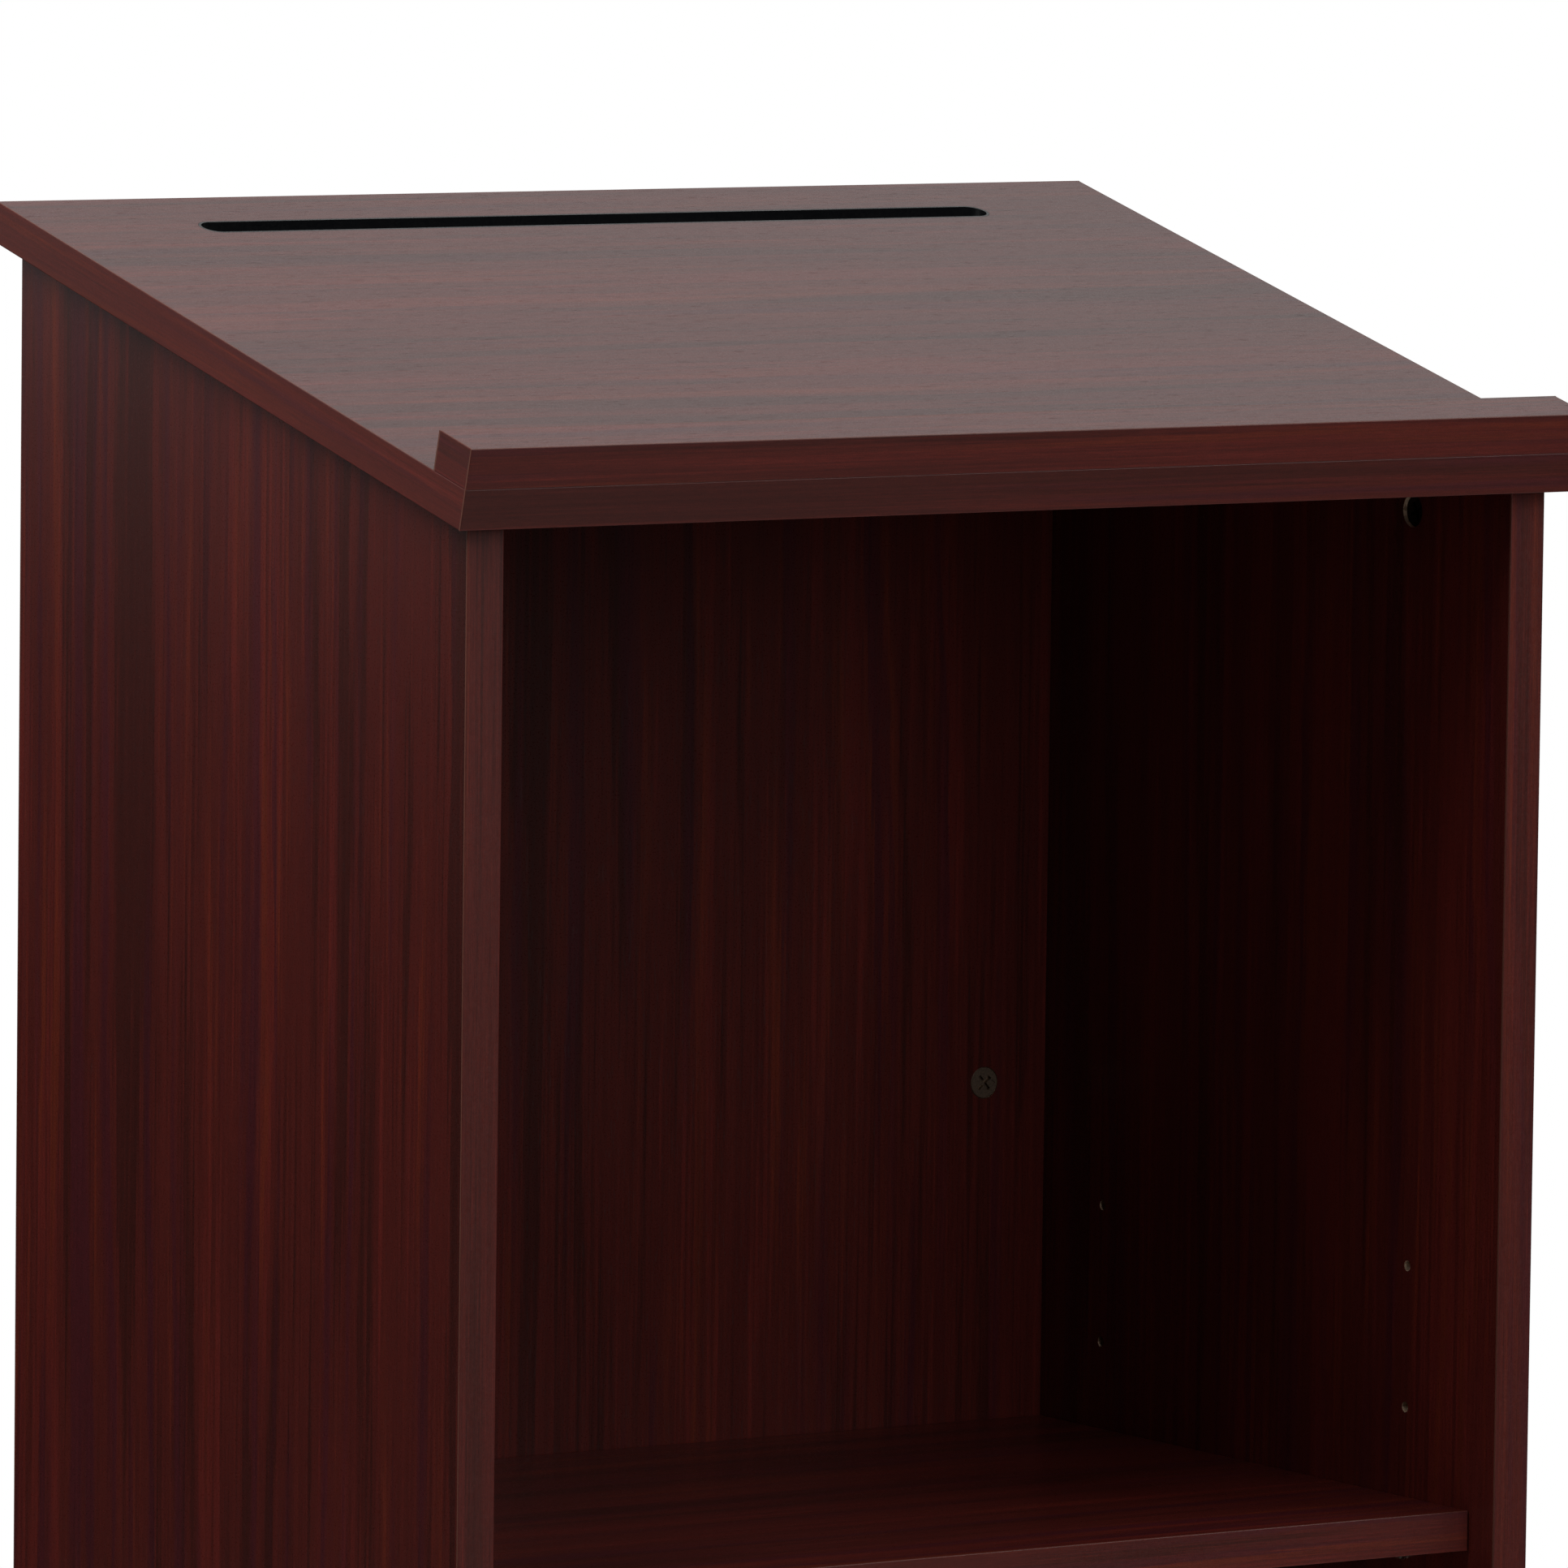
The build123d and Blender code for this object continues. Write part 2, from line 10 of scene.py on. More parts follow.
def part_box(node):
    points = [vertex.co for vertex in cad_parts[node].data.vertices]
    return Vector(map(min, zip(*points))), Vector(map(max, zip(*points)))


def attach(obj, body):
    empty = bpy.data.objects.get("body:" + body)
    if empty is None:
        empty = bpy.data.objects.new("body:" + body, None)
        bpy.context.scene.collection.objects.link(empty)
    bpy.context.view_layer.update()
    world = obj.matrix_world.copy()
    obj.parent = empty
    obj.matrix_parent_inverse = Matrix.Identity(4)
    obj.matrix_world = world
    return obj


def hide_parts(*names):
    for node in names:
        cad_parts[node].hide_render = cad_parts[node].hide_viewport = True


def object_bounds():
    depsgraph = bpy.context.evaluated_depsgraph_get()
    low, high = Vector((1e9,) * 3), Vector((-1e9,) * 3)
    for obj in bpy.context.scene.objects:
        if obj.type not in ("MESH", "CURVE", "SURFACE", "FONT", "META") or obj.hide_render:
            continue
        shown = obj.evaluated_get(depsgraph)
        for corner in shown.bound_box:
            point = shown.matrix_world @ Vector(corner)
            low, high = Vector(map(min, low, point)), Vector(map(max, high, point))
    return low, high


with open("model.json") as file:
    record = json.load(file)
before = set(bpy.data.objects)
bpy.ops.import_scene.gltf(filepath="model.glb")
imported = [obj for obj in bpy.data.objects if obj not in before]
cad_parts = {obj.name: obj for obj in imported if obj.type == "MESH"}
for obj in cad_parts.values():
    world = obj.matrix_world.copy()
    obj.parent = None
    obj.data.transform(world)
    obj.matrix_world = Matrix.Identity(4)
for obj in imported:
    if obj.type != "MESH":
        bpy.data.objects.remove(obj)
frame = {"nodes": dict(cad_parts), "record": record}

# A laminated stand-up lectern. The frame gives its boards, bands and fittings. This script gives them their
# finishes, cuts the threads and flutes of the hidden fasteners, and sets the stage.

bl_info = {
    "name": "Presentation Lectern",
    "version": (1, 0, 0),
    "blender": (4, 5, 0),
    "location": "3D View > Sidebar > Lectern",
    "description": "Finishes, fasteners and stage of a laminated stand-up lectern",
    "category": "Object",
}

# ---- Places and directions, from the frame ----

MM = 0.001
CARCASS = "carcass"
CAD_LOW, CAD_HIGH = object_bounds()
BOARD = (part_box("adjustable_shelf")[1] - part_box("adjustable_shelf")[0])[2]
ACROSS = Vector((1, 0, 0))
DEPTH = Vector((0, 1, 0))
UP = Vector((0, 0, 1))
READING = next(mount for mount in frame["record"]["mounts"] if mount["name"] == "reading_surface")
DESK_OUT = Vector(READING["axis"]).normalized()
DESK_RISE = DESK_OUT.cross(ACROSS).normalized()

# Each board's grain and facing directions. Both faces carry the print.
BOARDS = {
    "left_side_panel": (UP, ACROSS),
    "right_side_panel": (UP, ACROSS),
    "back_panel": (UP, DEPTH),
    "desk_top": (ACROSS, DESK_OUT),
    "book_stop": (ACROSS, DESK_OUT),
    "adjustable_shelf": (ACROSS, UP),
    "bottom_shelf": (ACROSS, UP),
    "kick_plate": (ACROSS, DEPTH),
}

# Each edge band's grain and facing directions. Only the outer face carries the print.
BANDS = {
    "left_side_front_band": (UP, -DEPTH),
    "right_side_front_band": (UP, -DEPTH),
    "left_side_rear_band": (UP, DEPTH),
    "right_side_rear_band": (UP, DEPTH),
    "desk_front_band": (ACROSS, -DESK_RISE),
    "desk_rear_band": (ACROSS, DESK_RISE),
    "desk_left_band": (DESK_RISE, -ACROSS),
    "desk_right_band": (DESK_RISE, ACROSS),
    "book_stop_front_band": (ACROSS, -DESK_RISE),
    "book_stop_rear_band": (ACROSS, DESK_RISE),
    "book_stop_left_band": (DESK_RISE, -ACROSS),
    "book_stop_right_band": (DESK_RISE, ACROSS),
    "adjustable_shelf_front_band": (ACROSS, -DEPTH),
    "bottom_shelf_front_band": (ACROSS, -DEPTH),
}
BOLT_NODES = (
    "back_panel_cam_bolts",
    "bottom_shelf_cam_bolts",
    "kick_plate_cam_bolts",
    "side_panel_cam_bolts",
)
DOWEL_NODES = ("back_panel_dowels", "bottom_shelf_dowels", "kick_plate_dowels", "side_panel_dowels")
CAM_NODES = ("back_panel_cams", "side_panel_cams", "bottom_shelf_cams", "kick_plate_cams")
PIN_NODES = tuple(f"shelf_pin_{row}_{side}" for row in ("front", "rear") for side in ("left", "right"))
GLIDE_NODES = tuple(f"glide_{row}_{side}" for row in ("front", "rear") for side in ("left", "right"))

# ---- Fixed values of the finishes ----

# Noise lies mostly between these two.
NOISE_LOW, NOISE_HIGH = 0.3, 0.7
# Where each piece's stretch of the print starts, so that no two pieces show the same one
BOARD_SEED_STEP = 7.0
BAND_SEED, BAND_SEED_STEP = 60, 4.0
# Slow bend of the broad bands: length and width of one bend, and how far it moves them
SWAY_RUN, SWAY_WIDTH, SWAY_REACH = 0.7, 0.15, 0.05
# Feathering of the broad bands' sides: length and width of one feather, and how far it reaches
FEATHER_RUN, FEATHER_WIDTH, FEATHER_REACH = 0.06, 0.0016, 0.008
# Share of the broad bands and of the wider ones under them, and how far the lines move the tone
BANDS_SHARE, WIDE_SHARE, LINES_SHARE = 0.55, 0.45, 0.3
# How strong the orange streaks and the violet bands are
ORANGE_MOST, VIOLET_MOST = 0.8, 0.75
# Darkest and lightest shade that the lines, fibres and speckle give
LINE_SHADE, FIBRE_SHADE, DOT_SHADE = (0.82, 1.16), (0.84, 1.16), (0.85, 1.15)
# Chips of the boards' core, and how deep the printed skin goes in at a board's edge
CHIP_SIZE, SKIN_DEPTH = 2.6 * MM, 0.25 * MM
# Satin texture pressed into the boards' faces and the edge bands: its grain and its roughness
BOARD_SATIN, BOARD_ROUGHNESS, CORE_ROUGHNESS = 0.9 * MM, (0.26, 0.33), 0.9
BAND_SATIN, BAND_ROUGHNESS = 1.4 * MM, (0.38, 0.46)
# Cosine of the angle to an edge band's outer face, past which trimming has bared the body
TRIM_START, TRIM_END = 0.6, 0.4

# ---- Fixed values of the fasteners and the stage ----

# Of a bolt head's radius: the shank is wider than this and the thread is narrower.
SHANK_SHARE = 0.85
LEAST_RADIUS = 0.2 * MM
# Thread: how steep the sides of its V are, and how much of the wave its flat crests take off
THREAD_SLOPE, THREAD_CREST = 1.6, 0.3
# Of a dowel's radius: the cone at each end is this deep.
DOWEL_CHAMFER = 0.25
# Points of a CAD mesh nearer than this are one, and heights and radii nearer than these are the same
MERGE, SAME_HEIGHT, SAME_RADIUS = 0.01 * MM, 0.02 * MM, 0.05 * MM
SHARP_ANGLE = math.radians(35)
FLOOR_SIDES = 128
FLOOR_RADIUS = 2.6
FLOOR_FADE = 1.1  # radius at which the floor starts to fade into the backdrop
LIGHT_AIM = 0.7  # height that the lights face, as a share of the lectern's
# Name, azimuth and elevation in degrees, distance and size in metres, and power in watts
LIGHTS = (
    ("left_softbox", -84, 48, 1.7, 1.2, 17),
    ("right_softbox", 54, 37, 2.8, 1.4, 19.5),
    ("front_softbox", 4, 24, 2.8, 1.8, 20),
    ("rear_right_softbox", 142, 34, 2.8, 1.8, 6.3),
    ("rear_left_softbox", -145, 20, 2.8, 1.6, 5),
)


def middle(node):
    """Centre of a CAD node's box."""
    low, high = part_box(node)
    return (Vector(low) + Vector(high)) / 2


def orbit(azimuth, elevation):
    """Unit vector from the lectern to a place round it: azimuth 0 is in front, a right angle on the right."""
    level = math.cos(elevation)
    return Vector((math.sin(azimuth) * level, -math.cos(azimuth) * level, math.sin(elevation)))


# ---- Properties ----


def linear(hex_colour):
    """An sRGB hex colour as linear red, green, blue and alpha."""
    channels = [int(hex_colour[i : i + 2], 16) / 255 for i in (1, 3, 5)]
    return (*(c / 12.92 if c <= 0.04045 else ((c + 0.055) / 1.055) ** 2.4 for c in channels), 1.0)


def hex_property(name, description, default):
    return StringProperty(name=name, description=description, default=default)


def length_property(name, description, default):
    return FloatProperty(name=name, description=description, default=default, unit="LENGTH", min=0)


def share_property(name, description, default):
    return FloatProperty(name=name, description=description, default=default, subtype="FACTOR", min=0, max=1)


def angle_property(name, description, degrees):
    return FloatProperty(name=name, description=description, default=math.radians(degrees), subtype="ANGLE")


class LecternPrint(bpy.types.PropertyGroup):
    """Colours and grain sizes of the printed wood pattern."""

    dark: hex_property("Dark grain", "Darkest bands of the print", "#3a1713")
    middle: hex_property("Middle grain", "Most of the print", "#551e19")
    red: hex_property("Red grain", "Reddest bands of the print", "#67231d")
    orange: hex_property("Orange grain", "Warm streaks inside the red bands", "#6f2b18")
    violet: hex_property("Violet grain", "Cool bands of the print", "#421823")
    warm_tone: hex_property("Warm tone", "Middle tone of the desk top's and edge bands' print", "#60231b")
    board_calm: share_property("Board calm", "How plain the boards' print is", 0.27)
    desk_calm: share_property("Desk calm", "How plain the desk top's print is", 0.38)
    band_calm: share_property("Edge band calm", "How plain the edge bands' print is", 0.42)
    band_scale: share_property("Edge band scale", "Grain width on edge bands, as a share of the boards'", 0.6)
    band_width: length_property("Band width", "Width of the broad bands across the grain", 0.0125)
    band_run: length_property("Band run", "Length over which a broad band changes", 0.55)
    line_width: length_property("Line width", "Width of the lines inside the bands", 0.0022)
    line_run: length_property("Line run", "Length of the lines inside the bands", 0.16)
    fibre_width: length_property("Fibre width", "Width of a printed fibre", 0.0008)
    fibre_run: length_property("Fibre run", "Length of a printed fibre", 0.009)
    dot_size: length_property("Dot size", "Size of the print's finest speckle", 0.0007)


class LecternFinish(bpy.types.PropertyGroup):
    """Colours of everything that isn't printed."""

    band_core: hex_property("Band core", "Body of the edge band, where it is trimmed", "#6e4438")
    chipboard: hex_property("Chipboard", "Raw core of the boards", "#cbb094")
    chip_dark: hex_property("Dark chips", "Darker chips in the core", "#8f735b")
    liner: hex_property("Liner", "Moulded pen groove liner", "#0c0d10")
    zinc: hex_property("Zinc", "Die-cast cam locks", "#8f7b6a")
    # Painted shade: a near-black copy of the zinc for the side panels' cam locks, standing in for the shadow
    # they lie in.
    painted_shade_zinc: hex_property("Dark zinc", "Blackened cam locks under the desk top", "#3b332d")
    steel: hex_property("Steel", "Zinc-plated bolts and nails", "#b4b6b8")
    nickel: hex_property("Nickel", "Nickel-plated shelf pins", "#c2beb6")
    brass: hex_property("Passivated steel", "Yellow-passivated screws", "#b59a5c")
    beech: hex_property("Beech", "Dowels", "#c29a6b")
    nylon: hex_property("Nylon", "Glides", "#231c1a")
    floor: hex_property("Floor", "Plain pale floor", "#f1f0ee")


class LecternFasteners(bpy.types.PropertyGroup):
    """Sizes of the fasteners' threads and flutes."""

    thread_pitch: length_property("Bolt thread pitch", "Pitch of the cam bolts' wood thread", 0.0028)
    thread_depth: length_property("Bolt thread depth", "Depth of the cam bolts' wood thread", 0.0009)
    flutes: IntProperty(name="Flutes", description="Flutes round a dowel", default=20, min=6)
    flute_depth: length_property("Flute depth", "Depth of a dowel's flutes", 0.0004)


class LecternStage(bpy.types.PropertyGroup):
    """Camera and surrounding light."""

    azimuth: angle_property("Azimuth", "Camera's turn round the lectern", -32.97)
    elevation: angle_property("Elevation", "Camera's angle above level", 5.372)
    roll: angle_property("Roll", "Camera's roll", 0.694)
    distance: length_property("Distance", "Camera to the point it aims at", 5.8376)
    lens: FloatProperty(name="Lens", description="Focal length", default=301.5, unit="CAMERA")
    aim_right: length_property("Aim right", "Aim point, right of the middle", 0.0003)
    aim_drop: length_property("Aim drop", "Aim point, below the lectern's top", 0.2543)
    ambient: share_property("Ambient", "Strength of the surrounding light", 0.006)


# ---- Nodes ----


def add_node(tree, kind, *inputs, at=None, output=0, stops=(), **settings):
    """Add a shader node with its settings, and return one of its outputs.

    inputs go to its sockets in order, and at gives others by name or number. Each is a value, or another
    node's output to link. stops are a colour ramp's positions and hex colours, in order.
    """
    made = tree.nodes.new("ShaderNode" + kind)
    for name, value in settings.items():
        setattr(made, name, value)
    for place, value in [*enumerate(inputs), *(at or {}).items()]:
        if isinstance(value, bpy.types.NodeSocket):
            tree.links.new(value, made.inputs[place])
        else:
            made.inputs[place].default_value = value
    if stops:
        elements = made.color_ramp.elements
        while len(elements) < len(stops):
            elements.new(0.5)
        for element, (position, colour) in zip(elements, stops):
            element.position = position
            element.color = linear(colour)
    return made.outputs[output]


def new_material(name, **surface):
    """A material with one Principled shader; returns the material, its tree and the shader."""
    material = bpy.data.materials.new(name)
    material.use_nodes = True
    tree = material.node_tree
    shader = tree.nodes["Principled BSDF"]
    for socket, value in surface.items():
        shader.inputs[socket].default_value = value
    return material, tree, shader


def connect(tree, shader, colour, roughness, height, strength, distance):
    """Link a colour, a roughness and a bump from a height to a Principled shader."""
    bump = add_node(tree, "Bump", at={"Strength": strength, "Distance": distance, "Height": height})
    tree.links.new(colour, shader.inputs["Base Color"])
    tree.links.new(roughness, shader.inputs["Roughness"])
    tree.links.new(bump, shader.inputs["Normal"])


def project(tree, place, direction, origin=0.0):
    """How far a place lies along a direction, in metres, counted from an origin on it."""
    reach = add_node(tree, "VectorMath", place, direction, output="Value", operation="DOT_PRODUCT")
    return add_node(tree, "Math", reach, origin, operation="SUBTRACT")


def streaks(tree, place, run, width, seed, detail=1.0, roughness=0.5):
    """Noise drawn out along the grain: one cell is run long, width wide and deeper than a board."""
    scale = (1 / run, 1 / width, 1 / (2 * BOARD))
    offset = (seed, 2.3 * seed, 5.1 * seed)
    scaled = add_node(tree, "VectorMath", place, scale, offset, operation="MULTIPLY_ADD")
    return add_node(tree, "TexNoise", scaled, at={"Scale": 1.0, "Detail": detail, "Roughness": roughness})


def grain_coordinates(tree, grain, facing, centre):
    """Place on a board: along its grain, across it, and out from its middle plane, in metres."""
    place = add_node(tree, "TexCoord", output="Object")
    along = project(tree, place, grain)
    across = project(tree, place, facing.cross(grain))
    out = project(tree, place, facing, centre.dot(facing))
    return along, across, out, place


def wood_print(tree, along, across, out, seed, tone, calm):
    """Printed mahogany: soft bands with feathered edges, thin lines and short fibres, all along the grain.

    calm draws the bands towards one tone. Returns the colour, where the dark fibres are, and a height for the
    embossed grain.
    """
    look = bpy.context.scene.lectern_print
    flat = add_node(tree, "CombineXYZ", along, across, out)
    sway = streaks(tree, flat, SWAY_RUN, SWAY_WIDTH, seed + 0.7, 2.0)
    sway = add_node(tree, "Math", sway, 0.5, operation="SUBTRACT")
    feather = streaks(tree, flat, FEATHER_RUN, FEATHER_WIDTH, seed + 2.9, 2.0)
    feather = add_node(tree, "Math", feather, 0.5, operation="SUBTRACT")
    swayed = add_node(tree, "Math", sway, SWAY_REACH, across, operation="MULTIPLY_ADD")
    swayed = add_node(tree, "Math", feather, FEATHER_REACH, swayed, operation="MULTIPLY_ADD")
    place = add_node(tree, "CombineXYZ", along, swayed, out)

    bands = streaks(tree, place, look.band_run, look.band_width, seed + 1.1)
    wide = streaks(tree, place, 2 * look.band_run, 4 * look.band_width, seed + 3.3)
    warm = streaks(tree, place, 0.5 * look.band_run, 0.6 * look.band_width, seed + 12.4)
    cool = streaks(tree, place, look.band_run, 0.8 * look.band_width, seed + 15.2)
    lines = streaks(tree, flat, look.line_run, look.line_width, seed + 5.7, 3.0, 0.65)
    fibres = streaks(tree, flat, look.fibre_run, look.fibre_width, seed + 8.9, 2.0, 0.6)
    dots = add_node(tree, "TexNoise", flat, at={"Scale": 1 / look.dot_size, "Detail": 1.0})

    mixed = add_node(tree, "Math", bands, BANDS_SHARE, operation="MULTIPLY")
    mixed = add_node(tree, "Math", wide, WIDE_SHARE, mixed, operation="MULTIPLY_ADD")
    level_lines = add_node(tree, "Math", lines, 0.5, operation="SUBTRACT")
    mixed = add_node(tree, "Math", level_lines, LINES_SHARE, mixed, operation="MULTIPLY_ADD")
    tones = ((0.39, look.dark), (0.45, look.middle), (0.54, look.middle), (0.60, look.red))
    colour = add_node(tree, "ValToRGB", mixed, stops=tones)

    # Orange streaks only where the bands are red, violet bands anywhere
    warmth = add_node(tree, "MapRange", warm, 0.54, 0.68)
    redness = add_node(tree, "MapRange", mixed, 0.46, 0.56)
    warmth = add_node(tree, "Math", warmth, redness, operation="MULTIPLY")
    warmth = add_node(tree, "Math", warmth, ORANGE_MOST, operation="MULTIPLY")
    coolness = add_node(tree, "MapRange", cool, 0.58, 0.68, 0.0, VIOLET_MOST)
    for share, towards in ((warmth, look.orange), (coolness, look.violet), (calm, tone)):
        pair = {6: colour, 7: linear(towards)}
        colour = add_node(tree, "Mix", share, at=pair, output=2, data_type="RGBA")

    line_shade = add_node(tree, "MapRange", lines, NOISE_LOW, NOISE_HIGH, *LINE_SHADE)
    fibre_shade = add_node(tree, "MapRange", fibres, NOISE_LOW, NOISE_HIGH, *FIBRE_SHADE)
    dot_shade = add_node(tree, "MapRange", dots, NOISE_LOW, NOISE_HIGH, *DOT_SHADE)
    shade = add_node(tree, "Math", line_shade, fibre_shade, operation="MULTIPLY")
    shade = add_node(tree, "Math", shade, dot_shade, operation="MULTIPLY")
    grey = add_node(tree, "CombineColor", shade, shade, shade)
    pair = {6: colour, 7: grey}
    colour = add_node(tree, "Mix", 1.0, at=pair, output=2, data_type="RGBA", blend_type="MULTIPLY")
    dark_fibre = add_node(tree, "MapRange", fibres, 0.40, 0.30)
    return colour, dark_fibre, lines


def chipboard(tree, place):
    """Raw particle board: flat chips 1 to 4 mm long with darker ones among them."""
    finish = bpy.context.scene.lectern_finish
    sizes = {"Scale": 1 / CHIP_SIZE, "Randomness": 1.0}
    chips = add_node(tree, "TexVoronoi", place, at=sizes, output="Color")
    grey = add_node(tree, "SeparateColor", chips)
    return add_node(tree, "ValToRGB", grey, stops=((0.1, finish.chip_dark), (0.75, finish.chipboard)))


def laminate(name, grain, facing, centre, seed, tone, calm):
    """Melamine laminate on chipboard.

    A printed paper is pressed into a clear melamine face with a fine satin texture: the print has no depth,
    the gloss is soft, and at a low angle the face goes pale. Cut edges and hole walls show raw chips.
    """
    material, tree, shader = new_material(name, IOR=1.5)
    along, across, out, place = grain_coordinates(tree, grain, facing, centre)
    colour, dark_fibre, lines = wood_print(tree, along, across, out, seed, tone, calm)
    depth = add_node(tree, "Math", out, operation="ABSOLUTE")
    is_face = add_node(tree, "Math", depth, BOARD / 2 - SKIN_DEPTH, operation="GREATER_THAN")
    pair = {6: chipboard(tree, place), 7: colour}
    colour = add_node(tree, "Mix", is_face, at=pair, output=2, data_type="RGBA")
    satin = add_node(tree, "TexNoise", place, at={"Scale": 1 / BOARD_SATIN, "Detail": 2.0})
    gloss = add_node(tree, "MapRange", satin, NOISE_LOW, NOISE_HIGH, *BOARD_ROUGHNESS)
    gloss = add_node(tree, "Math", dark_fibre, 0.12, gloss, operation="MULTIPLY_ADD")
    rough = add_node(tree, "Mix", is_face, at={2: CORE_ROUGHNESS, 3: gloss}, data_type="FLOAT")
    relief = add_node(tree, "Math", lines, 0.3, operation="MULTIPLY")
    relief = add_node(tree, "Math", dark_fibre, -0.5, relief, operation="MULTIPLY_ADD")
    relief = add_node(tree, "Math", satin, 0.25, relief, operation="MULTIPLY_ADD")
    connect(tree, shader, colour, rough, relief, 0.25, 0.05 * MM)
    return material


def edge_band(name, grain, facing, centre, seed):
    """Printed plastic edge band, 1 mm thick.

    The outer face carries the same print, finer and calmer than on the boards' faces. Trimming bares the tan
    body along the band's edges, which shows as a fine pale line at each corner.
    """
    look, finish = bpy.context.scene.lectern_print, bpy.context.scene.lectern_finish
    material, tree, shader = new_material(name, IOR=1.47)
    along, across, out, place = grain_coordinates(tree, grain, facing, centre)
    fine = add_node(tree, "Math", across, look.band_scale, operation="DIVIDE")
    colour, _, lines = wood_print(tree, along, fine, out, seed, look.warm_tone, look.band_calm)
    normal = add_node(tree, "TexCoord", output="Normal")
    towards = add_node(tree, "VectorMath", normal, facing, output="Value", operation="DOT_PRODUCT")
    is_face = add_node(tree, "MapRange", towards, TRIM_END, TRIM_START)
    pair = {6: linear(finish.band_core), 7: colour}
    colour = add_node(tree, "Mix", is_face, at=pair, output=2, data_type="RGBA")
    satin = add_node(tree, "TexNoise", place, at={"Scale": 1 / BAND_SATIN, "Detail": 2.0})
    rough = add_node(tree, "MapRange", satin, NOISE_LOW, NOISE_HIGH, *BAND_ROUGHNESS)
    relief = add_node(tree, "Math", lines, 0.2, operation="MULTIPLY")
    relief = add_node(tree, "Math", satin, 0.3, relief, operation="MULTIPLY_ADD")
    connect(tree, shader, colour, rough, relief, 0.2, 0.04 * MM)
    return material


def speckled(name, colour, roughness, grain, relief, darker=0.75, **surface):
    """One-colour material whose tone, gloss and relief vary over a grain of a given size.

    roughness is its lowest and highest value, and darker the shade of the low spots. The high spots are the
    lightest and the smoothest.
    """
    material, tree, shader = new_material(name, **surface)
    place = add_node(tree, "TexCoord", output="Object")
    noise = add_node(tree, "TexNoise", place, at={"Scale": 1 / grain, "Detail": 4.0})
    light = linear(colour)
    dark = (*(channel * darker for channel in light[:3]), 1.0)
    share = add_node(tree, "MapRange", noise, 0.35, 0.62)
    tint = add_node(tree, "Mix", share, at={6: dark, 7: light}, output=2, data_type="RGBA")
    rough = add_node(tree, "MapRange", noise, NOISE_LOW, NOISE_HIGH, roughness[1], roughness[0])
    connect(tree, shader, tint, rough, noise, 0.4, relief)
    return material


def dress(node, material):
    """Give a CAD node its material."""
    slots = frame["nodes"][node].material_slots
    if not slots:
        frame["nodes"][node].data.materials.append(material)
    for slot in slots:
        slot.material = material


# ---- New meshes ----


def closed_tube(rings, first_pole, last_pole):
    """Vertices and triangles of a skin through rings of points, closed at both ends by a pole.

    rings is an array of shape (rows, points round, 3), each ring turning the same way about the way forward.
    """
    rows, count = rings.shape[:2]
    vertices = np.vstack([rings.reshape(-1, 3), first_pole, last_pole])
    index = np.arange(rows * count).reshape(rows, count)
    following = np.roll(index, -1, axis=1)
    a, b, c, d = index[:-1], following[:-1], following[1:], index[1:]
    sides = np.concatenate([np.stack([a, b, c], -1).reshape(-1, 3), np.stack([a, c, d], -1).reshape(-1, 3)])
    start, end = rows * count, rows * count + 1
    first = np.stack([following[0], index[0], np.full(count, start)], -1)
    last = np.stack([index[-1], following[-1], np.full(count, end)], -1)
    return vertices, np.concatenate([sides, first, last])


def full_turn(count):
    """Angles of points evenly round a circle."""
    return np.linspace(0, 2 * np.pi, count, endpoint=False)


def ring_points(radius, height, turn):
    """Points of a surface about the Z axis: radius, height and turn are arrays of one shape."""
    return np.stack([radius * np.cos(turn), radius * np.sin(turn), height + 0 * turn], -1)


def turned_profile(points, spacing):
    """Radius and height along a profile, with points no further apart than a spacing."""
    points = np.array(points, float)
    rows = [points[:1]]
    for start, end in zip(points, points[1:]):
        steps = max(1, int(np.ceil(np.linalg.norm(end - start) / spacing)))
        rows.append(start + (end - start) * (np.arange(1, steps + 1) / steps)[:, None])
    return np.vstack(rows)


def threaded(profile, pitch, depth, thread_low, thread_high, around=24, spacing=0.4 * MM):
    """A turned shank with a thread cut into part of it.

    The radius is the profile's, less depth times a V wave of the height over the pitch minus the turn over a
    full turn, between two heights. The wave has flat crests and roots, and fades in and out over one pitch.
    """
    outline = turned_profile(profile, spacing)
    turn = full_turn(around)[None, :]
    radius, height = outline[:, :1], outline[:, 1:]
    phase = (height / pitch - turn / (2 * np.pi)) % 1.0
    valley = np.clip(np.abs(2 * phase - 1) * THREAD_SLOPE - THREAD_CREST, 0, 1)
    fade = np.clip((height - thread_low) / pitch, 0, 1) * np.clip((thread_high - height) / pitch, 0, 1)
    rings = ring_points(radius - depth * valley * fade, height, turn)
    return closed_tube(rings, np.array([0, 0, profile[0][1]]), np.array([0, 0, profile[-1][1]]))


def fluted(radius, length, chamfer, flutes, depth, per_flute=6):
    """A dowel whose radius is less depth times a rounded wave of the turn, with a cone at each end."""
    turn = full_turn(flutes * per_flute)[None, :]
    heights = np.array([0, chamfer, length - chamfer, length])[:, None]
    radii = np.array([radius - chamfer, radius, radius, radius - chamfer])[:, None]
    groove = np.array([0.0, 1.0, 1.0, 0.0])[:, None] * depth * (1 - np.abs(np.cos(flutes * turn / 2)))
    rings = ring_points(radii - groove, heights, turn)
    return closed_tube(rings, np.array([0, 0, 0.0]), np.array([0, 0, length]))


